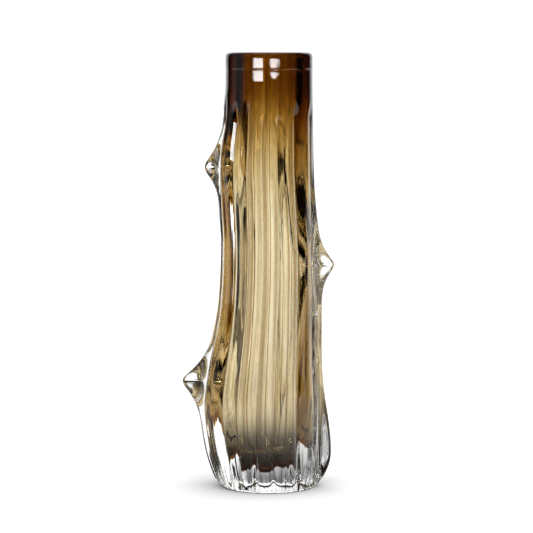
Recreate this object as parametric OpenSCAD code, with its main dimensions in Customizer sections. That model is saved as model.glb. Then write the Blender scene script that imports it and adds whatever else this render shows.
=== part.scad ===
// Hand blown glass vase: a clear lining, an amber overlay and a clear ribbed casing,
// fused on a ground foot, with three pulled thorns on its two side fins.
// The origin is on the neck's axis, on the plane that the foot stands on. +Z is up.
// Angles are measured round the axis: 0 is -Y, the front, and 90 is +X.

/* [Vase] */
// Height from the ground foot to the rim
height = 440; // [420:1:460]
// Outside radius of the plain neck
neck_r = 44; // [43:0.5:46]
// Radius of the rounding on the rim's outer edge
rim_round = 3.5; // [2:0.5:5]

/* [Layers] */
// Radius of the hollow at the rim
mouth_r = 28; // [26:0.5:29]
// Height of the hollow's floor above the table
floor_z = 22; // [20:1:30]
// Thickness of the clear inner lining
lining_t = 0.8; // [0.6:0.1:1.2]
// Thickness of the amber overlay at the rim
amber_neck_t = 6.5; // [5:0.5:9]
// Thickness of the amber overlay in the body
amber_body_t = 1.3; // [1.2:0.1:2.4]
// Thickness of the amber overlay under the hollow's floor
amber_floor_t = 3.5; // [3:0.5:6]
// Height of clear glass that covers the layers' ends at the rim
rim_cover = 3; // [2:0.5:5]

/* [Foot] */
// Radius of the ground face that the vase stands on
stand_r = 45; // [42:0.5:47]
// Height of the foot
foot_h = 6; // [5:0.5:7]

/* [Thorns] */
// Reach of the upper left thorn beyond its fin
upper_reach = 13; // [8:0.5:16]
// Reach of the right thorn beyond its fin
right_reach = 14; // [8:0.5:16]
// Reach of the lower left thorn beyond its fin
lower_reach = 22; // [14:0.5:26]

/* [Hidden] */

// Every outline is a list of [height, radius] for a vase of this height
drawn_height = 440;
z_scale = height / drawn_height;

// Radius of the grooves between the ribs
groove = [[0, 45], [6, 48.5], [16, 50], [40, 49.5], [86, 47], [160, 44.5], [240, 43],
    [300, 41.8], [345, 42], [385, 43.3], [404, 44], [440, 44]];
// How far a rib stands out of its grooves
rib_rise = [[0, 1], [6, 2], [16, 4], [36, 6], [86, 6], [160, 5], [240, 4],
    [330, 3.4], [375, 2], [398, 0.2], [404, 0], [440, 0]];
// Radius along the crest of the left fin
left_fin = [[0, 47], [4, 51], [10, 55], [33, 62.5], [60, 68], [85, 70], [108, 66], [131, 60.5],
    [163, 54], [190, 50.5], [245, 48.4], [290, 50.5], [325, 51.5], [350, 50], [368, 47],
    [391, 45], [404, 44], [440, 44]];
// Radius along the crest of the right fin
right_fin = [[0, 47], [4, 50.5], [10, 54], [25, 61.5], [42, 63], [66, 60.7], [98, 56], [122, 54],
    [180, 53.3], [226, 53], [261, 50], [293, 47], [320, 45.6], [404, 44], [440, 44]];
// Radius of the hollow, as a share of the mouth's
hollow = [[0, 1.1], [35, 1.22], [60, 1.28], [90, 1.28], [160, 1.18], [240, 1.07],
    [300, 1], [345, 0.97], [395, 1], [440, 1]];
// How far the amber has thickened from its body to its neck
thickening = [[0, 0], [240, 0], [300, 0.1], [350, 0.38], [385, 0.78], [410, 1], [440, 1]];

// Angle of the groove before each rib, at the foot and at the rim
foot_edges = [-70, -43, -13, 8, 45, 74, 106, 133, 162, 193, 224, 250];
rim_edges = [-66, -30, -9, 9, 41, 72, 104, 134, 164, 194, 222, 254];
// Height of each rib, as a share of the common one
rib_share = [0.9, 1, 0.9, 1.1, 1, 1, 0.9, 1, 1.1, 0.9, 1, 1];
rib_count = len(foot_edges);
right_rib = 5;
left_rib = 11;

// Thorns: angle, height, reach, spread above the tip, spread below it, half angle
upper_thorn = [-90, 324 * z_scale, upper_reach, 11, 11, 9];
right_thorn = [90, 226 * z_scale, right_reach, 13, 13, 9];
lower_thorn = [-90, 108 * z_scale, lower_reach, 17, 15, 10];
thorns = [upper_thorn, right_thorn, lower_thorn];
// Step at the edge of a thorn, where the hot bit of glass meets its fin
thorn_edge = 0.3;
thorn_half_angle = 18;
thorn_half_height = 34;
// Length of the rounded point of a thorn
tip_round = 2.5;

// Swelling of the layers towards a thorn: height, spread along Z, spread in degrees
swell = 4;
swell_z = 30;
swell_angle = 26;

// Height of the round bottom of the hollow
bowl_h = 36;
layer_end = height - rim_cover;
wide_step = 6;
fine_step = 3;
fine_range = 24;
coarse_rise = 12;
close_rise = 3;

// Height-wise slope at point i of an outline
function slope(t, i) =
    let (a = max(i - 1, 0), b = min(i + 1, len(t) - 1))
    (t[b][1] - t[a][1]) / (t[b][0] - t[a][0]);

function span_of(t, z, i = 0) =
    i >= len(t) - 2 || z < t[i + 1][0] ? i : span_of(t, z, i + 1);

// Smooth curve through an outline's points, at a height of the real vase
function along(t, real_z) =
    let (z = min(max(real_z / z_scale, 0), drawn_height))
    let (i = span_of(t, z), w = t[i + 1][0] - t[i][0], u = (z - t[i][0]) / w)
    let (u2 = u * u, u3 = u2 * u)
    (2 * u3 - 3 * u2 + 1) * t[i][1] + (u3 - 2 * u2 + u) * w * slope(t, i)
    + (3 * u2 - 2 * u3) * t[i + 1][1] + (u3 - u2) * w * slope(t, i + 1);

function ease(u) = u * u * (3 - 2 * u);
function turned(a) = a - 360 * floor(a / 360);
function apart(a, b) = abs(turned(a - b + 180) - 180);

// Angle of a groove at a height: the ribs lean a little on their way up
function edge(i, z) =
    let (k = i % rib_count, lap = 360 * floor(i / rib_count))
    foot_edges[k] + (rim_edges[k] - foot_edges[k]) * ease(min(max(z / height, 0), 1)) + lap;

function rib_at(a, z, i = 0) =
    i >= rib_count - 1 || a < edge(i + 1, z) ? i : rib_at(a, z, i + 1);

// The rib under an angle, and the rise there: 0 in a groove, 1 on the crest
function rib_and_rise(a, z) =
    let (b = edge(0, z) + turned(a - edge(0, z)), i = rib_at(b, z))
    let (u = (b - edge(i, z)) / (edge(i + 1, z) - edge(i, z)))
    [i, pow(sin(180 * min(max(u, 0), 1)), 0.8)];

// Outside radius of the ribbed casing, without its thorns
function casing_r(a, z) =
    let (rr = rib_and_rise(a, z), low = along(groove, z))
    let (crest = rr[0] == left_rib ? along(left_fin, z)
        : rr[0] == right_rib ? along(right_fin, z)
        : low + along(rib_rise, z) * rib_share[rr[0]])
    (low + (crest - low) * rr[1]) * neck_r / 44;

// Falls from 1 in the middle to 0 at the edge of a thorn's seat
function fade(u) = max(1 - u * u, 0);

// How far a thorn stands out at an angle and a height
function thorn_rise(t, a, z) =
    let (d = z - t[1], spread = d > 0 ? t[3] : t[4], side = apart(a, t[0]))
    let (up = exp((tip_round - sqrt(d * d + tip_round * tip_round)) / spread))
    let (half = t[5] * (1.25 - 0.55 * up))
    t[2] * up * exp(-pow(side / half, 2.4))
    * fade(d / thorn_half_height) * fade(side / thorn_half_angle);

function swelling(a, z) =
    max([for (t = thorns)
        swell * exp(-pow((z - t[1]) / swell_z, 2)) * exp(-pow(apart(a, t[0]) / swell_angle, 2))]);

// Layers, outwards: 0 is the hollow, 1 the lining's outside, 2 the amber's outside
function amber_t(z) = amber_body_t + (amber_neck_t - amber_body_t) * along(thickening, z);
function layer_out(k, z) = k == 0 ? 0 : k == 1 ? lining_t : lining_t + amber_t(z);
function layer_floor(k) = floor_z - (k == 0 ? 0 : k == 1 ? lining_t : lining_t + amber_floor_t);
function layer_bowl(k) = bowl_h + floor_z - layer_floor(k);
function roundness(k, z) =
    let (u = (z - layer_floor(k)) / layer_bowl(k))
    u >= 1 ? 1 : sqrt(1 - pow(1 - u, 2));
function layer_r(k, a, z) =
    (mouth_r * along(hollow, z) + swelling(a, z) + layer_out(k, z)) * roundness(k, z);

// Angles of the mesh: closer together on the fins
angles = [for (a = [-180:fine_step:180 - fine_step])
    if (a % wide_step == 0 || apart(a, 90) < fine_range || apart(a, -90) < fine_range) a];
n = len(angles);

// Heights of the casing's rings: closer together near the thorns
function nearest_thorn(z) = min([for (t = thorns) abs(z - t[1])]);
function rise_at(z) =
    close_rise + (coarse_rise - close_rise) * ease(min(nearest_thorn(z) / 50, 1));
function climb(z, top) = z + 2 > top ? [] : concat([z], climb(z + rise_at(z), top));
rim_arc_z = height - rim_round;
casing_z = concat([foot_h, foot_h + 4], climb(foot_h + 9, rim_arc_z), [rim_arc_z]);

function spot(r, a, z) = [r * sin(a), -r * cos(a), z];
function casing_ring(z) = [for (a = angles) spot(casing_r(a, z), a, z)];
function rim_ring(t) =
    [for (a = angles) spot(casing_r(a, height) - rim_round * (1 - cos(t)), a,
        rim_arc_z + rim_round * sin(t))];
function layer_ring(k, z) = [for (a = angles) spot(layer_r(k, a, z), a, z)];

// Heights of a layer's rings: the round bottom, then even steps to its end
function layer_z(k) =
    let (f = layer_floor(k), b = layer_bowl(k), steps = 9)
    concat([for (t = [20, 40, 58, 75, 90]) f + b * (1 - cos(t))],
        [for (i = [1:steps]) f + b + (layer_end - f - b) * i / steps]);
function layer_rings(k) = [for (z = layer_z(k)) layer_ring(k, z)];

function flat_list(lists) = [for (l = lists) each l];
function backwards(l) = [for (i = [len(l) - 1:-1:0]) l[i]];

// Faces between ring j and ring j + 1 of a stack of rings
function band(j) =
    [for (i = [0:n - 1]) let (k = (i + 1) % n) each [
        [j * n + i, (j + 1) * n + k, j * n + k],
        [j * n + i, (j + 1) * n + i, (j + 1) * n + k]]];

// A solid from a stack of rings, closed at both ends with a point
module ring_solid(rings, first, last) {
    points = concat(flat_list(rings), [first, last]);
    end = (len(rings) - 1) * n;
    bands = [for (j = [0:len(rings) - 2]) each band(j)];
    low = [for (i = [0:n - 1]) [len(points) - 2, i, (i + 1) % n]];
    high = [for (i = [0:n - 1]) [len(points) - 1, end + (i + 1) % n, end + i]];
    polyhedron(points = points, faces = concat(bands, low, high), convexity = 6);
}

// A cup between two layers
module layer_cup(inner, outer) {
    rings = concat(layer_rings(outer), backwards(layer_rings(inner)));
    ring_solid(rings, [0, 0, layer_floor(outer)], [0, 0, layer_floor(inner)]);
}

// A thorn: the glass between its fin and its own pulled skin
module thorn(t) {
    across = [for (a = angles) if (apart(a, t[0]) <= thorn_half_angle) a];
    rows = [for (z = casing_z) if (abs(z - t[1]) <= thorn_half_height) z];
    w = len(across);
    h = len(rows);
    skin = [for (z = rows) for (a = across)
        spot(casing_r(a, z) + thorn_edge + thorn_rise(t, a, z), a, z)];
    seat = [for (z = rows) for (a = across) spot(casing_r(a, z), a, z)];
    s = w * h;
    cells = [for (j = [0:h - 2]) for (i = [0:w - 2]) j * w + i];
    front = [for (c = cells) each [[c, c + w + 1, c + 1], [c, c + w, c + w + 1]]];
    back = [for (c = cells) each
        [[s + c, s + c + 1, s + c + w + 1], [s + c, s + c + w + 1, s + c + w]]];
    rim = concat([for (i = [0:w - 1]) i], [for (j = [1:h - 1]) j * w + w - 1],
        [for (i = [w - 2:-1:0]) (h - 1) * w + i], [for (j = [h - 2:-1:1]) j * w]);
    sides = [for (i = [0:len(rim) - 1]) let (p = rim[i], q = rim[(i + 1) % len(rim)])
        each [[p, q, s + q], [p, s + q, s + p]]];
    polyhedron(points = concat(skin, seat), faces = concat(front, back, sides), convexity = 4);
}

module inner_lining() {
    color([0.86, 0.88, 0.88]) layer_cup(0, 1);
}

module amber_overlay() {
    color([0.66, 0.5, 0.27]) layer_cup(1, 2);
}

// The casing is clear glass outside the amber, and it covers the layers' ends at the rim
module clear_casing() {
    outside = concat([for (z = casing_z) casing_ring(z)], [for (t = [30, 60, 90]) rim_ring(t)]);
    mouth = [layer_ring(0, height), layer_ring(0, layer_end)];
    inside = backwards(layer_rings(2));
    color([0.8, 0.82, 0.83])
        ring_solid(concat(outside, mouth, inside), [0, 0, foot_h], [0, 0, layer_floor(2)]);
}

// The foot is turned on the wheel: a flat face with a rounded edge
module ground_foot() {
    top_r = min([for (a = angles) casing_r(a, foot_h)]);
    edge_r = top_r - stand_r;
    arc = [for (t = [15:15:90]) [stand_r + edge_r * sin(t), edge_r * (1 - cos(t))]];
    outline = concat([[0, 0], [stand_r, 0]], arc, [[top_r, foot_h], [0, foot_h]]);
    color([0.74, 0.76, 0.78]) rotate_extrude($fn = 96) polygon(outline);
}

module thorn_upper_left() {
    color([0.8, 0.82, 0.83]) thorn(upper_thorn);
}

module thorn_right() {
    color([0.8, 0.82, 0.83]) thorn(right_thorn);
}

module thorn_lower_left() {
    color([0.8, 0.82, 0.83]) thorn(lower_thorn);
}

inner_lining();
amber_overlay();
clear_casing();
ground_foot();
thorn_upper_left();
thorn_right();
thorn_lower_left();
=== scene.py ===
"""Hand blown art glass vase: a clear lining, an amber overlay and a clear ribbed casing,
with pulled thorns on its two side fins, on a ground foot.

The form is worked out in millimetres from outlines, as in the CAD model, and the meshes
are made in metres. Angles are in degrees round the axis: 0 is -Y, the front, and 90 is +X.
"""
import math
from collections import namedtuple

import bpy
import numpy as np
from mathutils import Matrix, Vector


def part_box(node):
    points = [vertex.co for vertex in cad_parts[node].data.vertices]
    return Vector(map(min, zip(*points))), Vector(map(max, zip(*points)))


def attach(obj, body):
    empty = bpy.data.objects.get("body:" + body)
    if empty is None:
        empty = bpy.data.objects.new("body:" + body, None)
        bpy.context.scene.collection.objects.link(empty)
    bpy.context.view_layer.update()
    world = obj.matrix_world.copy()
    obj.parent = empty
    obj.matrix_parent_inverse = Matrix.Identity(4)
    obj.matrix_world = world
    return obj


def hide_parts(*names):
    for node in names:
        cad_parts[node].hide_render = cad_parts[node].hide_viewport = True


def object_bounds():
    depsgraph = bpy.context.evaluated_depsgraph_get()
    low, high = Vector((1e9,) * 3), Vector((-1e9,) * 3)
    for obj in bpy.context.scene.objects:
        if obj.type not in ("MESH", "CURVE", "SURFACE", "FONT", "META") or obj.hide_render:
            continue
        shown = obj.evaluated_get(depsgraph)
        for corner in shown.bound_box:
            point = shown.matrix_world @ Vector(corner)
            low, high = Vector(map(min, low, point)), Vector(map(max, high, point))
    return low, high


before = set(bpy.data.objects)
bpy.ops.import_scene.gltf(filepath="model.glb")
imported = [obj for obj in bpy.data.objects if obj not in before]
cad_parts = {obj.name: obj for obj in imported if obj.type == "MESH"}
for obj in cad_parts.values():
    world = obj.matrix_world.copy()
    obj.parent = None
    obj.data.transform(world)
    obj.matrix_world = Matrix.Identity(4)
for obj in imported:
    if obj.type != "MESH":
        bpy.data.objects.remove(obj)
cad_low, cad_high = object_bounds()

MM = 0.001
TO_MM = 1000.0
HEIGHT = cad_high[2] * TO_MM
FOOT_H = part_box("ground_foot")[1][2] * TO_MM
LEFT = -90
RIGHT = 90

# ---------------------------------------------------------------- outlines, [height, radius]
# Radius of the front and back, over the ribs
BODY = [(0, 47.5), (6, 48.6), (16, 49.8), (40, 50.5), (86, 50), (120, 48.3), (160, 47.2),
        (240, 46.2), (300, 44.9), (345, 44.2), (385, 44), (404, 44), (440, 44)]
LEFT_FIN = [(0, 47.5), (4, 52), (10, 56), (33, 64), (60, 69), (85, 70.8), (108, 68),
            (131, 63.8), (163, 56.3), (190, 52), (245, 49.4), (290, 51.3), (325, 52.3),
            (350, 50.5), (368, 47.3), (391, 45.3), (404, 44), (440, 44)]
RIGHT_FIN = [(0, 47.5), (4, 51), (10, 55.5), (25, 62), (42, 63.3), (66, 61), (98, 56.3),
             (122, 54.3), (180, 53.8), (226, 53.5), (261, 50.5), (293, 47.2), (320, 45.8),
             (350, 45), (404, 44), (440, 44)]
# Half angle of the left lobe, and half thickness of the right fin
LEFT_SPAN = [(0, 40), (60, 48), (118, 52), (240, 58), (290, 55), (335, 45), (385, 28),
             (440, 28)]
RIGHT_THICK = [(0, 9), (40, 9), (100, 7.5), (180, 8), (208, 12), (226, 14), (246, 12),
               (290, 7.5), (440, 6)]
HOLLOW = [(0, 25), (30, 29.5), (60, 34.5), (93, 36.5), (118, 35.5), (143, 34), (163, 33),
          (193, 32), (243, 31), (293, 29.3), (333, 28.4), (365, 27.8), (390, 28), (440, 28)]
# How far the hollow's middle wanders along X on its way up
WANDER = [(0, -3), (60, -4.8), (93, -4.5), (118, -3.5), (143, -1.6), (163, 0), (193, 1.2),
          (243, 1.2), (293, -0.8), (333, -2.8), (365, -0.5), (390, 0), (440, 0)]
# Thickness of the amber
AMBER = [(0, 0.9), (60, 0.85), (240, 0.75), (292, 0.85), (332, 1.3), (362, 2.0), (378, 2.7),
         (392, 3.6), (405, 4.6), (418, 5.3), (440, 5.6)]
# How square the left lobe and the right fin are in plan
LEFT_POWER = 3
RIGHT_POWER = 2.5
FIN_SIGHT = 80

# ---------------------------------------------------------------- ribs
# Grooves: angle at the foot, angle at the rim, depth at the foot, halfway and at the neck,
# height of the upper end, length of the thick amber's tongue on the rib after it
GROOVES = np.array([
    (-108, -108, 3.4, 1.4, 1.6, 386, 12),
    (-73, -74, 3.4, 1.4, 1.8, 396, 8),
    (-48, -50, 5.0, 2.4, 3.0, 390, 20),
    (-34, -30, 3.6, 3.0, 3.2, 394, 4),
    (-14, -9, 4.4, 2.4, 3.2, 382, 4),
    (7, 12, 4.4, 2.4, 3.2, 380, 16),
    (39, 37, 4.8, 3.2, 3.4, 392, 24),
    (72, 72, 3.4, 1.6, 1.8, 390, 10),
    (106, 106, 3.4, 1.6, 1.8, 386, 12),
    (132, 133, 4.2, 2.4, 3.0, 392, 8),
    (162, 161, 4.2, 2.4, 3.0, 384, 14),
    (192, 190, 4.2, 2.4, 3.0, 394, 6),
    (224, 222, 4.2, 2.4, 3.0, 383, 12),
], float)
FOOT_ANGLE, RIM_ANGLE, FOOT_DEPTH, MID_DEPTH, NECK_DEPTH, GROOVE_TOP, TONGUE = GROOVES.T

# The grooves turn by HOOK degrees at their upper ends, and sway: degrees, height, spread
HOOK = 1.5
HOOK_Z = 325
HOOK_LENGTH = 65.0
SWAYS = ((4.0, 235, 75.0), (-3.0, 70, 60.0))
SWAY_GAIN = 1.5
# A groove dies out over this height at its top, and is shallower at the very foot
GROOVE_FADE = 16.0
FOOT_SHARE = 0.6
REST_SHARE = 0.4
GROOVE_BOTTOM = 0.04
RIB_ROUND = 2.0
TONGUE_POWER = 0.7

# Ripples of the outside: size, seed, waves round the glass, top, height that they fade over
NECK_Z = 388
BODY_RIPPLE = (0.03, 5.0, (18, 31, 47), NECK_Z, 30.0)
BASE_RIPPLE = (0.9, 3.0, (29, 47, 73), 42, 36.0)
# Height over which the amber's painted groove shade fades out under the neck
CREST_FADE = 14
# Uneven spacing of any waves round the glass
WARP = 1.1
WARP_WAVES = 4

# ---------------------------------------------------------------- neck, floor and layers
JACK_Z = 422.5
JACK_DEPTH = 0.18
JACK_WIDTH = 0.8
LIP_Z = 424.0
LIP_LEAN = 0.0008

FLOOR_Z = 20.0
BOWL_H = 30.0
LINING_T = 0.8
AMBER_FLOOR_T = 2.6
RIM_COVER = 3.0
RIM_ROUND = 4.0
SEAM = 0.04
LAYER_END = HEIGHT - RIM_COVER
FOOT_EDGE = 2.2

# The layers' skins, from the inside out
BORE, LINING, OVERLAY = range(3)
# The ribs show on the layers up to here, and fade over this height
INSIDE_Z = 385
INSIDE_FADE = 60.0
FLUTE = 0.8
FLUTE_MIDDLE = 0.6
AMBER_UNEVEN = 0.3
AMBER_SEED = 2.0

# ---------------------------------------------------------------- thorns
# above and below: spread over and under the tip. half: half angle. tip: the tip's roundness
Thorn = namedtuple("Thorn", "angle height reach above below half tip")
THORNS = {
    "thorn_upper_left": Thorn(LEFT, 325, 12.5, 15, 14, 10, 7),
    "thorn_right": Thorn(RIGHT, 226, 12.5, 16, 15, 10, 3),
    "thorn_lower_left": Thorn(LEFT, 108, 20, 20, 21, 11, 3),
}
THORN_HALF_ANGLE = 22.0
THORN_HALF_HEIGHT = 48.0
THORN_TAPER = 1.15
THORN_SQUARE = 2.2
THORN_ROOT = 1.3
THORN_NARROWING = 0.6
PINCH = 0.4
PINCH_HEIGHT = 2.6
# The hollow behind each thorn: size, drop below the tip, height and angle that it spreads over
SWELLINGS = {
    "thorn_upper_left": (6.5, 0, 36, 28),
    "thorn_right": (3.0, 0, 36, 28),
    "thorn_lower_left": (9.0, 10, 60, 40),
}

# ---------------------------------------------------------------- mesh spacing
FINE_ANGLE = 0.6
COARSE_ANGLE = 1.0
FINE_ANGLE_ZONE = 16
JACK_ROW = 0.4
THORN_ROW = 1.7
BODY_ROW = 3.7
JACK_ZONE = (-4, 2.5)
THORN_ZONE = 15
BOWL_STEP = 4
LAYER_ROWS = 60
RIM_STEPS = 5
RIM_START = 15
FOOT_STEPS = 6
FOOT_ROWS = 4
SOLE_RINGS = (0.25, 0.5, 0.75, 0.97)
# What a ring mesh's two end caps are called in a set of fused rings
FIRST_CAP = -1
LAST_CAP = -2


def along(z, outline):
    """Smooth curve through an outline's points."""
    x, y = np.array(outline, float).T
    slope = np.gradient(y, x)
    slope[1:-1] = (y[2:] - y[:-2]) / (x[2:] - x[:-2])
    z = np.clip(np.asarray(z, float), x[0], x[-1])
    k = np.clip(np.searchsorted(x, z, side="right") - 1, 0, len(x) - 2)
    h = x[k + 1] - x[k]
    u = (z - x[k]) / h
    return ((2 * u**3 - 3 * u**2 + 1) * y[k] + (u**3 - 2 * u**2 + u) * h * slope[k]
            + (3 * u**2 - 2 * u**3) * y[k + 1] + (u**3 - u**2) * h * slope[k + 1])


def ease(u):
    """0 below 0, 1 above 1 and smooth between."""
    u = np.clip(u, 0.0, 1.0)
    return u * u * (3 - 2 * u)


def bell(x, width):
    """1 where the number x is 0, falling away over the width."""
    return math.exp(-((x / width) ** 2))


def apart(a, b):
    """Angle between a and b, from 0 to 180 degrees."""
    return np.abs((np.asarray(a) - b + 180.0) % 360.0 - 180.0)


def groove_angles(z):
    """The grooves lean, sway in an S and hook over at their upper ends."""
    lean = FOOT_ANGLE + (RIM_ANGLE - HOOK - FOOT_ANGLE) * ease(z / HEIGHT)
    lean = lean + HOOK * ease((z - HOOK_Z) / HOOK_LENGTH)
    sway = sum(size * bell(z - at, spread) for size, at, spread in SWAYS)
    return lean + sway * np.clip(SWAY_GAIN * np.cos(np.radians(lean)), -1, 1)


def follow(a, z):
    """The angle that a point would have if the grooves ran straight up."""
    here = groove_angles(z)
    xs = np.concatenate([here[-1:] - 360, here, here[:1] + 360])
    ys = np.concatenate([FOOT_ANGLE[-1:] - 360, FOOT_ANGLE, FOOT_ANGLE[:1] + 360])
    b = here[0] + (np.asarray(a) - here[0]) % 360.0
    return np.interp(b, xs, ys)


def groove_depths(z):
    """Depth of each groove at one height."""
    share = z / HEIGHT
    if share < 0.5:
        depth = FOOT_DEPTH + (MID_DEPTH - FOOT_DEPTH) * ease(2 * share)
    else:
        depth = MID_DEPTH + (NECK_DEPTH - MID_DEPTH) * ease(2 * share - 1)
    depth = depth * ease((GROOVE_TOP - z) / GROOVE_FADE)
    return depth * (FOOT_SHARE + REST_SHARE * ease(z / GROOVE_FADE))


def ribs_at(a, z):
    """(how far the ribs' skin lies inside their crests, rise of the rib, tongue length)."""
    here = groove_angles(z)
    count = len(here)
    b = here[0] + (np.asarray(a) - here[0]) % 360.0
    low = np.clip(np.searchsorted(here, b, side="right") - 1, 0, count - 1)
    high = (low + 1) % count
    ends = np.where(high == 0, here[0] + 360, here[high])
    u = np.clip((b - here[low]) / (ends - here[low]), 0, 1)
    between = ease(u)
    depth = groove_depths(z)
    depth = depth[low] * (1 - between) + depth[high] * between
    wave = np.sqrt(np.sin(np.pi * u) ** 2 + GROOVE_BOTTOM**2) - GROOVE_BOTTOM
    rise = 1 - (1 - wave) ** RIB_ROUND
    return depth * (1 - rise), rise, TONGUE[low] * np.sin(np.pi * u) ** TONGUE_POWER


def streaks(v, seed, counts=(24, 37, 61), sizes=(0.45, 0.35, 0.2)):
    """Fine uneven waves round the glass, about -1 to 1."""
    rad = np.radians(v)
    out = 0.0
    for count, size in zip(counts, sizes):
        warp = WARP * np.sin(WARP_WAVES * rad + seed)
        out = out + size * np.sin(count * rad + seed * count + warp)
    return out


def ripple(v, z, size, seed, counts, top, fade):
    return size * streaks(v, seed, counts) * ease((top - z) / fade)


def casing_r(a, z):
    """Outside radius without the thorns, at the angles a and one height."""
    body = along(z, BODY)
    left = along(z, LEFT_FIN) - body
    right = along(z, RIGHT_FIN)
    away = right * np.sin(np.radians(np.clip(apart(a, RIGHT), 0, FIN_SIGHT)))
    r = body + left * np.exp(-((apart(a, LEFT) / along(z, LEFT_SPAN)) ** LEFT_POWER))
    r = r + (right - body) * np.exp(-((away / along(z, RIGHT_THICK)) ** RIGHT_POWER))
    v = follow(a, z)
    r = r - ribs_at(a, z)[0] + (ripple(v, z, *BODY_RIPPLE) + ripple(v, z, *BASE_RIPPLE))
    # the plain neck: a jack line under a lip that leans in towards the rim
    lip = max(z - LIP_Z, 0.0)
    return r - JACK_DEPTH * bell(z - JACK_Z, JACK_WIDTH) - LIP_LEAN * lip**2


def thorn_rise(thorn, a, z):
    """How far a thorn stands out from the casing, at the angles a and one height."""
    d = z - thorn.height
    side = apart(a, thorn.angle)
    spread = thorn.above if d > 0 else thorn.below
    dist = math.sqrt(d * d + thorn.tip**2) - thorn.tip
    up = math.exp(-((dist / spread) ** THORN_TAPER))
    half = thorn.half * (THORN_ROOT - THORN_NARROWING * up) * (1 - PINCH * bell(d, PINCH_HEIGHT))
    fade = max(1 - (d / THORN_HALF_HEIGHT) ** 2, 0) ** 2
    fade = fade * np.clip(1 - (side / THORN_HALF_ANGLE) ** 2, 0, 1) ** 2
    return thorn.reach * up * np.exp(-((side / half) ** THORN_SQUARE)) * fade


def swelling(a, z):
    """The hollow reaches out a little behind each thorn."""
    out = 0.0
    for name, (size, drop, high, wide) in SWELLINGS.items():
        thorn = THORNS[name]
        bump = bell(z - thorn.height + drop, high)
        bump = bump * np.exp(-((apart(a, thorn.angle) / wide) ** 2))
        out = np.maximum(out, size * bump)
    return out


def layer_floor(k):
    return FLOOR_Z - (0.0, LINING_T, LINING_T + AMBER_FLOOR_T)[k]


def layer_bowl(k):
    return BOWL_H + FLOOR_Z - layer_floor(k)


def layer_r(k, a, z):
    """Radius of the skin k, which is BORE, LINING or OVERLAY."""
    inside = ease((INSIDE_Z - z) / INSIDE_FADE)
    rise, tongue = ribs_at(a, z)[1:]
    flute = FLUTE * (rise - FLUTE_MIDDLE) * inside
    amber_t = along(z + tongue, AMBER)
    amber_t = amber_t * (1 + AMBER_UNEVEN * streaks(follow(a, z), AMBER_SEED) * inside)
    out = (0.0, LINING_T, LINING_T + amber_t)[k]
    u = min(max((z - layer_floor(k)) / layer_bowl(k), 0), 1)
    return (along(z, HOLLOW) + swelling(a, z) + flute + out) * math.sqrt(1 - (1 - u) ** 2)


def bottom_spot(k):
    """The lowest point of the skin k."""
    f = layer_floor(k)
    return (float(along(f, WANDER)), 0, f)


# ---------------------------------------------------------------- meshes
def fin_angles():
    """Angles round the glass, closer together on the fins."""
    out = []
    a = -180.0
    while a < 180.0 - 1e-6:
        out.append(a)
        near = min(apart(a, RIGHT), apart(a, LEFT))
        a += FINE_ANGLE if near < FINE_ANGLE_ZONE else COARSE_ANGLE
    return np.array(out)


ANGLES = fin_angles()
N = len(ANGLES)


def row_step(z):
    """Rows lie closer together round the jack line and the thorns."""
    if JACK_ZONE[0] < z - JACK_Z < JACK_ZONE[1]:
        return JACK_ROW
    near = min(abs(z - thorn.height) for thorn in THORNS.values())
    return THORN_ROW if near < THORN_ZONE else BODY_ROW


def casing_heights():
    z = FOOT_H + SEAM
    out = [z]
    while z < HEIGHT - RIM_ROUND - 1.0:
        z += row_step(z)
        out.append(z)
    out[-1] = HEIGHT - RIM_ROUND
    return np.array(out)


def arc(start, end, steps):
    """Angles in radians from start to end, given in degrees."""
    return [math.radians(start + (end - start) * i / steps) for i in range(steps + 1)]


def spots(r, a, z):
    """Points at the radii r, the angles a and the height z."""
    rad = np.radians(a)
    return np.stack([r * np.sin(rad), -r * np.cos(rad), z + 0 * r], axis=-1)


def layer_heights(k):
    f, b = layer_floor(k), layer_bowl(k)
    low = [f + b * (1 - math.cos(math.radians(t))) for t in range(BOWL_STEP, 91, BOWL_STEP)]
    return low + list(np.linspace(f + b, LAYER_END, LAYER_ROWS)[1:])


def layer_rings(k, grow=0.0):
    rings = []
    for z in layer_heights(k):
        r = layer_r(k, ANGLES, z) + grow
        rings.append(spots(r, ANGLES, z) + (float(along(z, WANDER)), 0, 0))
    return rings


def ring_mesh(name, rings, first, last, join_rings=()):
    """A closed solid from a stack of rings. Faces over the rings in join_rings are fused."""
    pts = np.concatenate([np.asarray(r) for r in rings] + [[first], [last]])
    rows = len(rings)
    faces = []
    mats = []
    i = np.arange(N)
    k = (i + 1) % N
    for j in range(rows - 1):
        faces.append(np.stack([j * N + i, j * N + k, (j + 1) * N + k, (j + 1) * N + i], axis=1))
        mats += [int(j in join_rings)] * N
    low = np.stack([np.full(N, rows * N), k, i], axis=1)
    high = np.stack([np.full(N, rows * N + 1), (rows - 1) * N + i, (rows - 1) * N + k], axis=1)
    mats += [int(FIRST_CAP in join_rings)] * N + [int(LAST_CAP in join_rings)] * N
    return raw_mesh(name, pts, np.concatenate(faces), np.concatenate([low, high]), mats)


def link(name, data):
    obj = bpy.data.objects.new(name, data)
    bpy.context.scene.collection.objects.link(obj)
    return obj


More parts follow.
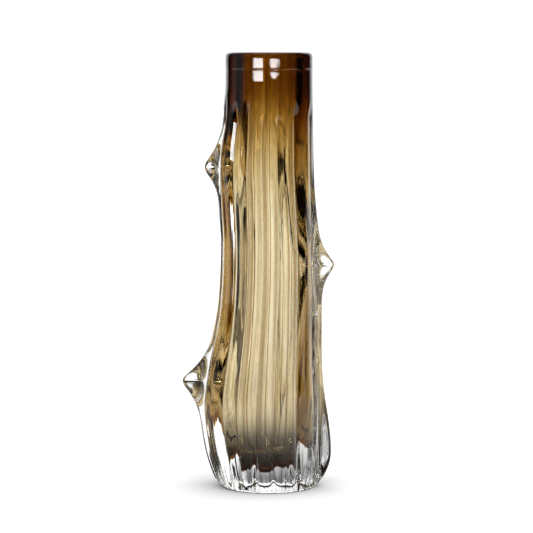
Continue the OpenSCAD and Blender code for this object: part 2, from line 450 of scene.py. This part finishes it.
def raw_mesh(name, pts, quads, tris, mats):
    mesh = bpy.data.meshes.new(name)
    mesh.vertices.add(len(pts))
    mesh.vertices.foreach_set("co", (pts * MM).astype(np.float32).ravel())
    loops = np.concatenate([quads.ravel(), tris.ravel()])
    mesh.loops.add(len(loops))
    mesh.loops.foreach_set("vertex_index", loops)
    total = np.concatenate([np.full(len(quads), 4), np.full(len(tris), 3)])
    start = np.concatenate([[0], np.cumsum(total)[:-1]])
    mesh.polygons.add(len(total))
    mesh.polygons.foreach_set("loop_start", start)
    mesh.polygons.foreach_set("loop_total", total)
    mesh.polygons.foreach_set("material_index", np.array(mats, int))
    mesh.polygons.foreach_set("use_smooth", np.ones(len(total), bool))
    mesh.update(calc_edges=True)
    mesh.validate()
    return link(name, mesh)


def dress(obj, skin):
    """Adds the skin's material and the fused one, with a sharp edge where their faces meet."""
    mesh = obj.data
    mesh.materials.append(skin)
    mesh.materials.append(fused)
    mats = np.zeros(len(mesh.polygons), int)
    mesh.polygons.foreach_get("material_index", mats)
    total = np.zeros(len(mesh.polygons), int)
    mesh.polygons.foreach_get("loop_total", total)
    edge = np.zeros(len(mesh.loops), int)
    mesh.loops.foreach_get("edge_index", edge)
    of_loop = np.repeat(mats, total)
    low = np.full(len(mesh.edges), len(mesh.materials))
    high = np.full(len(mesh.edges), -1)
    np.minimum.at(low, edge, of_loop)
    np.maximum.at(high, edge, of_loop)
    mesh.edges.foreach_set("use_edge_sharp", low != high)
    mesh.update()


# ---------------------------------------------------------------- materials
class Nodes:
    """Short ways to add math nodes to a node tree."""

    def __init__(self, tree):
        self.tree = tree

    def put(self, socket, value):
        if isinstance(value, (int, float)):
            socket.default_value = value
        else:
            self.tree.links.new(value, socket)

    def math(self, operation, *values):
        node = self.tree.nodes.new("ShaderNodeMath")
        node.operation = operation
        for socket, value in zip(node.inputs, values):
            self.put(socket, value)
        return node.outputs[0]

    def plus(self, a, b):
        return self.math("ADD", a, b)

    def times(self, a, b):
        return self.math("MULTIPLY", a, b)

    def over(self, a, b):
        return self.math("DIVIDE", a, b)

    def most(self, first, *others):
        for other in others:
            first = self.math("MAXIMUM", first, other)
        return first

    def smooth(self, value, start, end):
        """0 at start and 1 at end, whichever is the larger."""
        node = self.tree.nodes.new("ShaderNodeMapRange")
        node.interpolation_type = "SMOOTHSTEP"
        self.put(node.inputs["Value"], value)
        if start > end:
            start, end = end, start
            node.inputs["To Min"].default_value = 1
            node.inputs["To Max"].default_value = 0
        self.put(node.inputs["From Min"], start)
        self.put(node.inputs["From Max"], end)
        return node.outputs["Result"]

    def length(self, x, y):
        square = self.plus(self.times(x, x), self.times(y, y))
        return self.most(self.math("SQRT", square), 1e-4)

    def mix(self, factor, a, b):
        node = self.tree.nodes.new("ShaderNodeMix")
        node.data_type = "FLOAT"
        self.put(node.inputs[0], factor)
        self.put(node.inputs[2], a)
        self.put(node.inputs[3], b)
        return node.outputs[0]

    def xyz(self, vector):
        node = self.tree.nodes.new("ShaderNodeSeparateXYZ")
        self.tree.links.new(vector, node.inputs[0])
        return node.outputs

    def stored(self, name):
        """A value that set_flow stored on the mesh."""
        node = self.tree.nodes.new("ShaderNodeAttribute")
        node.attribute_name = name
        return node.outputs

    def threads(self, across, detail, start, end):
        """Threads along the flow, this many to a radius of the glass; 0 to 1."""
        place = self.tree.nodes.new("ShaderNodeMapping")
        self.tree.links.new(self.stored("flow")["Vector"], place.inputs["Vector"])
        place.inputs["Scale"].default_value = (across, across, THREAD_STRETCH)
        place.inputs["Location"].default_value = (across, 0, 0)
        noise = self.tree.nodes.new("ShaderNodeTexNoise")
        self.tree.links.new(place.outputs["Vector"], noise.inputs["Vector"])
        noise.inputs["Scale"].default_value = 1.0
        noise.inputs["Detail"].default_value = detail
        return self.smooth(noise.outputs["Fac"], start, end)


GLASS_IOR = 1.5
# A surface between fused glass doesn't bend light
JOIN_IOR = 1.0
WHITE = (1, 1, 1)
CLEAR_LIGHT = (0.99, 0.995, 0.99)
CLEAR_DARK = (0.965, 0.975, 0.965)
THREAD_STRETCH = 0.12
GROUND_TOP = 0.6 * MM
GROUND_LOW = 0.1 * MM


def set_flow(obj):
    """Stores where each point would be if the ribs ran straight up, and its rise on its rib."""
    mesh = obj.data
    co = np.zeros(len(mesh.vertices) * 3, np.float32)
    mesh.vertices.foreach_get("co", co)
    co = co.reshape(-1, 3)
    a = np.degrees(np.arctan2(co[:, 0], -co[:, 1]))
    flow = np.zeros_like(co)
    crest = np.zeros(len(co), np.float32)
    for z in np.unique(co[:, 2]):
        on = co[:, 2] == z
        v = np.radians(follow(a[on], z / MM))
        flow[on] = np.stack([np.sin(v), -np.cos(v), 0 * v + z], axis=1)
        # the rise, which the amber's painted groove shade reads, is held at 1 in the plain neck
        crest[on] = 1 - (1 - ribs_at(a[on], z / MM)[1]) * ease((NECK_Z - z / MM) / CREST_FADE)
    layer = mesh.attributes.new("flow", "FLOAT_VECTOR", "POINT")
    layer.data.foreach_set("vector", flow.ravel())
    layer = mesh.attributes.new("crest", "FLOAT", "POINT")
    layer.data.foreach_set("value", crest)


def glass(name, ior, light):
    """Smooth glass of one colour, which the other materials start from."""
    mat = bpy.data.materials.new(name)
    mat.use_nodes = True
    bsdf = mat.node_tree.nodes["Principled BSDF"]
    bsdf.inputs["Base Color"].default_value = (*light, 1)
    bsdf.inputs["Roughness"].default_value = 0.0
    bsdf.inputs["IOR"].default_value = ior
    bsdf.inputs["Transmission Weight"].default_value = 1.0
    return mat


def tint(mat, amount, light, dark):
    """Mixes the colours light and dark by an amount from 0 to 1."""
    nt = mat.node_tree
    mix = nt.nodes.new("ShaderNodeMix")
    mix.data_type = "RGBA"
    nt.links.new(amount, mix.inputs[0])
    mix.inputs[6].default_value = (*light, 1)
    mix.inputs[7].default_value = (*dark, 1)
    nt.links.new(mix.outputs[2], nt.nodes["Principled BSDF"].inputs["Base Color"])


def clear_glass(name, across, wave, haze, ground=0.0):
    """Drawn clear glass: cords along the ribs, faint haze and, at the very foot, a ground face."""
    mat = glass(name, GLASS_IOR, CLEAR_LIGHT)
    nt = mat.node_tree
    bsdf = nt.nodes["Principled BSDF"]
    tools = Nodes(nt)
    tint(mat, tools.threads(5.0, 2.0, 0.45, 0.7), CLEAR_LIGHT, CLEAR_DARK)
    bump = nt.nodes.new("ShaderNodeBump")
    bump.inputs["Strength"].default_value = 1.0
    bump.inputs["Distance"].default_value = wave * MM
    nt.links.new(tools.threads(across, 1.0, 0.35, 0.65), bump.inputs["Height"])
    nt.links.new(bump.outputs["Normal"], bsdf.inputs["Normal"])
    rough = tools.times(tools.threads(9.0, 3.0, 0.5, 0.8), haze)
    if ground:
        z = tools.xyz(tools.stored("flow")["Vector"])["Z"]
        rough = tools.plus(rough, tools.times(tools.smooth(z, GROUND_TOP, GROUND_LOW), ground))
    nt.links.new(rough, bsdf.inputs["Roughness"])
    return mat


def amber_glass(name, dark, color, density):
    """Coloured glass, with threads of the colour dark drawn out along the ribs, and the colour dark
    painted into the ribs' grooves as painted shade.
    """
    mat = glass(name, JOIN_IOR, WHITE)
    nt = mat.node_tree
    tools = Nodes(nt)
    broad = tools.times(tools.threads(6.0, 0.0, 0.45, 0.65), 0.22)
    fine = tools.times(tools.threads(15.0, 1.0, 0.51, 0.59), 0.55)
    lines = tools.times(tools.threads(27.0, 0.0, 0.62, 0.68), 0.9)
    # painted shade: the amber takes the colour dark in the ribs' grooves, away from their crests
    painted_groove_shade = tools.times(tools.smooth(tools.stored("crest")["Fac"], 0.3, 0.02), 0.75)
    amount = tools.most(tools.plus(broad, fine), tools.most(lines, painted_groove_shade))
    # weaker on the back, so that the front's threads stay crisp in front of them
    y = tools.xyz(tools.stored("flow")["Vector"])["Y"]
    amount = tools.times(amount, tools.mix(tools.smooth(y, 0.3, -0.3), 0.3, 1.0))
    tint(mat, amount, WHITE, dark)
    volume = nt.nodes.new("ShaderNodeVolumeAbsorption")
    volume.inputs["Color"].default_value = (*color, 1)
    volume.inputs["Density"].default_value = density
    nt.links.new(volume.outputs["Volume"], nt.nodes["Material Output"].inputs["Volume"])
    return mat


clear = clear_glass("clear_glass", 22.0, 0.03, 0.01)
spike_glass = clear_glass("spike_glass", 9.0, 0.02, 0.01)
lining_glass = clear_glass("lining_glass", 14.0, 0.02, 0.01)
foot_glass = clear_glass("foot_glass", 22.0, 0.03, 0.01, ground=0.12)
fused = glass("fused_join", JOIN_IOR, WHITE)
amber = amber_glass("amber_glass", (0.42, 0.31, 0.17), (0.665, 0.485, 0.0), 600.0)


# ---------------------------------------------------------------- pieces
def build_casing(heights):
    outside = [spots(casing_r(ANGLES, z), ANGLES, z) for z in heights]
    top_r = casing_r(ANGLES, HEIGHT)
    rim = [spots(top_r - RIM_ROUND * (1 - math.cos(t)), ANGLES,
                 HEIGHT - RIM_ROUND + RIM_ROUND * math.sin(t))
           for t in arc(RIM_START, 90, RIM_STEPS)]
    mouth_r = layer_r(BORE, ANGLES, HEIGHT)
    mouth = [spots(mouth_r + RIM_COVER * (1 - math.sin(t)), ANGLES,
                   LAYER_END + RIM_COVER * math.cos(t))
             for t in arc(0, 90, RIM_STEPS)]
    in_air = outside + rim + mouth
    rings = in_air + layer_rings(OVERLAY, grow=SEAM)[::-1]
    join = set(range(len(in_air) - 1, len(rings) - 1)) | {FIRST_CAP, LAST_CAP}
    obj = ring_mesh("casing", rings, (0, 0, FOOT_H + SEAM), bottom_spot(OVERLAY), join)
    # the thorns' seats are fused too
    mats = np.zeros(len(obj.data.polygons), int)
    obj.data.polygons.foreach_get("material_index", mats)
    for thorn in THORNS.values():
        on = np.array([thorn_rise(thorn, ANGLES, z) > 0 for z in heights])
        cell = on[:-1] | on[1:]
        cell = cell | np.roll(cell, -1, axis=1)
        mats[:cell.size][cell.ravel()] = 1
    obj.data.polygons.foreach_set("material_index", mats)
    dress(obj, clear)
    return obj


def build_thorn(name, thorn, heights):
    """The thorn's skin, closed by a seat SEAM above the casing. They meet where the rise ends."""
    rows = heights[np.abs(heights - thorn.height) <= THORN_HALF_HEIGHT + 3]
    cols = ANGLES[apart(ANGLES, thorn.angle) <= THORN_HALF_ANGLE + 1.6]
    w, h = len(cols), len(rows)
    rise = np.array([thorn_rise(thorn, cols, z) for z in rows])
    seat_r = np.array([casing_r(cols, z) for z in rows])
    skin = np.array([spots(r + q, cols, z) for r, q, z in zip(seat_r, rise, rows)])
    seat_r = seat_r + np.minimum(SEAM, 0.5 * rise)
    seat = np.array([spots(r, cols, z) for r, z in zip(seat_r, rows)])
    rise = rise.reshape(-1)
    j, i = np.meshgrid(np.arange(h - 1), np.arange(w - 1), indexing="ij")
    c = (j * w + i).ravel()
    front = np.stack([c, c + 1, c + w + 1, c + w], axis=1)
    front = front[rise[front].max(axis=1) > 0]
    back = front[:, ::-1]
    back = np.where(rise[back] > 0, back + w * h, back)
    mats = [0] * len(front) + [1] * len(back)
    used, quads = np.unique(np.concatenate([front, back]), return_inverse=True)
    pts = np.concatenate([skin.reshape(-1, 3), seat.reshape(-1, 3)])[used]
    obj = raw_mesh(name, pts, quads.reshape(-1, 4), np.zeros((0, 3), int), mats)
    dress(obj, spike_glass)
    return obj


def build_amber():
    rings = layer_rings(OVERLAY) + layer_rings(LINING, grow=SEAM)[::-1]
    obj = ring_mesh("amber", rings, bottom_spot(OVERLAY), bottom_spot(LINING))
    obj.data.materials.append(amber)
    return obj


def build_lining():
    outer = layer_rings(LINING)
    rings = outer + layer_rings(BORE)[::-1]
    join = set(range(len(outer))) | {FIRST_CAP}
    obj = ring_mesh("lining", rings, bottom_spot(LINING), bottom_spot(BORE), join)
    dress(obj, lining_glass)
    return obj


def build_foot():
    stand = casing_r(ANGLES, 0) - FOOT_EDGE
    rings = [spots(stand * r, ANGLES, 0.0) for r in SOLE_RINGS]
    for t in arc(0, 90, FOOT_STEPS):
        z = FOOT_EDGE * (1 - math.cos(t))
        rings.append(spots(casing_r(ANGLES, z) - FOOT_EDGE * (1 - math.sin(t)), ANGLES, z))
    for z in np.linspace(FOOT_EDGE, FOOT_H, FOOT_ROWS)[1:]:
        rings.append(spots(casing_r(ANGLES, z), ANGLES, z))
    obj = ring_mesh("foot", rings, (0, 0, 0), (0, 0, FOOT_H), {LAST_CAP})
    dress(obj, foot_glass)
    return obj


rows_up = casing_heights()
pieces = {
    "clear_casing": build_casing(rows_up),
    "amber_overlay": build_amber(),
    "inner_lining": build_lining(),
    "ground_foot": build_foot(),
}
for node, thorn in THORNS.items():
    pieces[node] = build_thorn(node.replace("thorn", "spike"), thorn, rows_up)

for node, obj in pieces.items():
    set_flow(obj)
    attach(obj, "root")
    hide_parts(node)


# ---------------------------------------------------------------- studio
# The camera sees white, and a painted contact shadow on the floor. All other rays see white
# sheets in the world and, on the floor, painted light of white sheets and a white table, with
# black flags between them that give the glass its dark edges; on the floor the flags are painted
# shade. Levels are of light, distances in metres.
SEEN_LEVEL = 1.3
# Reach, samples and power of the painted contact shadow on the floor
SHADE_REACH = 0.15
SHADE_SAMPLES = 16
SHADE_POWER = 1.25
FLOOR_HALF = 12.0
FLOOR_DROP = 0.0002
# the floor's painted light: where its white table lies, and how bright its left sheet is
TABLE_AZIMUTH = 48
LEFT_LEVEL_FLOOR = 0.7
LEFT_LEVEL_WORLD = 0.2
SHEET_LEVEL = 1.6
TOP_LEVEL = 0.8
DARK_LEVEL = 0.02


def cosine(degrees):
    return math.cos(math.radians(degrees))


def sine(degrees):
    return math.sin(math.radians(degrees))


def lobe_light(tools, x, y, far, left_level):
    """Light of a white sheet behind the vase and a fainter one on its left, with dark flags
    elsewhere; the floor gives it as painted light and painted shade.
    """
    to_back = tools.over(y, far)
    to_left = tools.over(tools.times(x, -1.0), far)
    back = tools.smooth(to_back, cosine(45), cosine(35))
    left = tools.smooth(to_left, cosine(30), cosine(12))
    return tools.most(back, tools.times(left, left_level))


def floor_light(tools, x, y):
    """Painted light that the floor's glow sends to the glass."""
    far = tools.length(x, y)
    near = tools.smooth(far, 1.3, 0.5)
    lobes = lobe_light(tools, x, y, far, LEFT_LEVEL_FLOOR)
    # painted light of a white table, which runs on to the right of the sheet
    to_side = tools.plus(tools.times(x, sine(TABLE_AZIMUTH)), tools.times(y, cosine(TABLE_AZIMUTH)))
    to_side = tools.over(to_side, far)
    table = tools.smooth(to_side, cosine(24), cosine(14))
    table = tools.times(table, tools.smooth(far, 9.0, 4.5))
    # and comes forward past it on the right
    forward = tools.over(tools.math("SUBTRACT", x, y), far)
    diagonal = math.sqrt(2)
    apron = tools.smooth(forward, diagonal * cosine(50), diagonal * cosine(30))
    apron = tools.times(apron, tools.smooth(far, 2.6, 1.7))
    level = tools.most(tools.most(near, lobes), tools.most(table, apron))
    # painted shade under the vase, and a brighter glow far off
    level = tools.times(level, tools.mix(tools.smooth(far, 0.03, 0.4), 0.05, 1.12))
    return tools.times(level, tools.mix(tools.smooth(far, 0.4, 3.0), 1.0, 1.3))


def build_floor():
    mesh = bpy.data.meshes.new("floor")
    s = FLOOR_HALF
    mesh.from_pydata([(-s, -s, 0), (s, -s, 0), (s, s, 0), (-s, s, 0)], [], [(0, 1, 2, 3)])
    obj = link("floor", mesh)
    obj.location.z = -FLOOR_DROP
    mat = bpy.data.materials.new("floor")
    mat.use_nodes = True
    nt = mat.node_tree
    nt.nodes.clear()
    out = nt.nodes.new("ShaderNodeOutputMaterial")
    emit = nt.nodes.new("ShaderNodeEmission")
    nt.links.new(emit.outputs[0], out.inputs["Surface"])
    ao = nt.nodes.new("ShaderNodeAmbientOcclusion")
    ao.inputs["Distance"].default_value = SHADE_REACH
    ao.samples = SHADE_SAMPLES
    geo = nt.nodes.new("ShaderNodeNewGeometry")
    tools = Nodes(nt)
    place = tools.xyz(geo.outputs["Position"])
    level = floor_light(tools, place["X"], place["Y"])
    ray = nt.nodes.new("ShaderNodeLightPath")
    # painted contact shadow: to the camera the floor glows white, darkened by ambient occlusion
    # near the vase
    seen_with_painted_shadow = tools.times(tools.math("POWER", ao.outputs["AO"], SHADE_POWER), SEEN_LEVEL)
    level = tools.mix(ray.outputs["Is Camera Ray"], level, seen_with_painted_shadow)
    nt.links.new(level, emit.inputs["Strength"])
    mesh.materials.append(mat)


def build_world():
    world = bpy.data.worlds.new("studio")
    bpy.context.scene.world = world
    world.use_nodes = True
    nt = world.node_tree
    nt.nodes.clear()
    out = nt.nodes.new("ShaderNodeOutputWorld")
    sky = nt.nodes.new("ShaderNodeBackground")
    nt.links.new(sky.outputs[0], out.inputs[0])
    coord = nt.nodes.new("ShaderNodeTexCoord")
    tools = Nodes(nt)
    x, y, z = tools.xyz(coord.outputs["Generated"])
    lobes = lobe_light(tools, x, y, tools.length(x, y), LEFT_LEVEL_WORLD)
    top = tools.smooth(z, sine(50), sine(75))
    total = tools.plus(tools.times(lobes, SHEET_LEVEL), tools.times(top, TOP_LEVEL))
    total = tools.plus(total, DARK_LEVEL)
    ray = nt.nodes.new("ShaderNodeLightPath")
    nt.links.new(tools.mix(ray.outputs["Is Camera Ray"], total, SEEN_LEVEL), sky.inputs["Strength"])


def softbox(name, azimuth, low, width, height, power, shape="RECTANGLE", distance=0.8):
    """A light that faces the axis, with its lower edge at the height low."""
    data = bpy.data.lights.new(name, "AREA")
    data.shape = shape
    data.size = width
    data.size_y = height
    data.energy = power
    obj = link(name, data)
    pos = Vector((distance * sine(azimuth), -distance * cosine(azimuth), low + height / 2))
    obj.location = pos
    aim = Vector((0, 0, pos.z)) - pos
    obj.rotation_euler = aim.to_track_quat("-Z", "Y").to_euler()
    obj.visible_camera = False


def build_camera():
    data = bpy.data.cameras.new("camera")
    data.lens = 147.3
    data.sensor_width = 36.0
    obj = link("camera", data)
    obj.location = (0.0, -2.2, 0.43)
    aim = Vector((-0.0025, 0, 0.2241)) - obj.location
    obj.rotation_euler = aim.to_track_quat("-Z", "Y").to_euler()
    bpy.context.scene.camera = obj


build_floor()
build_world()
softbox("key", -28, low=0.405, width=0.36, height=0.12, power=2.8)
softbox("fill", 13, low=0.408, width=0.3, height=0.09, power=1.2, shape="ELLIPSE")
build_camera()

scene = bpy.context.scene
scene.view_settings.view_transform = "Standard"
scene.cycles.max_bounces = 40
scene.cycles.transmission_bounces = 40
scene.cycles.transparent_max_bounces = 16
scene.cycles.sample_clamp_indirect = 8.0
